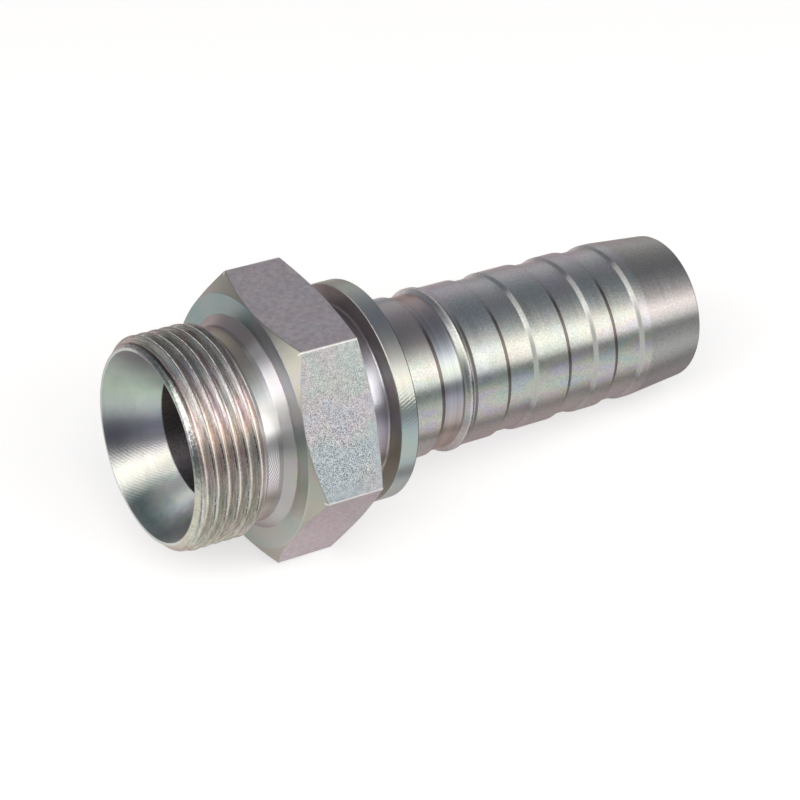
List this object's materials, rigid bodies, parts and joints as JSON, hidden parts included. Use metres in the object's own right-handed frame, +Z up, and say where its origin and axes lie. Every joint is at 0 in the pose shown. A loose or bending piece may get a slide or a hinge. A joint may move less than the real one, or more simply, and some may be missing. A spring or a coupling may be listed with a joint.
{
  "type": "hose insert",
  "caption": "Turned steel hose insert with a male pipe thread, a cone seat, a hexagon, a groove and collar for a crimped ferrule, and a grooved hose tail.",
  "frame": {"origin": "on the ground below the middle of the insert's length, as it lies at rest on a hexagon flat's rear edge and its tail end", "axes": "+X from the mouth towards the tail end, with the insert's own axis dipping 6.88 degrees below +X; +Y sideways; +Z up, square to the ground"},
  "size_m": [0.1224, 0.0578, 0.0515],
  "materials": {
    "plated_steel": "turned steel, zinc plated with a clear iridescent passivation, semi-gloss"
  },
  "bodies": {
    "root": {"hose_insert": "plated_steel"}
  },
  "joints": []
}
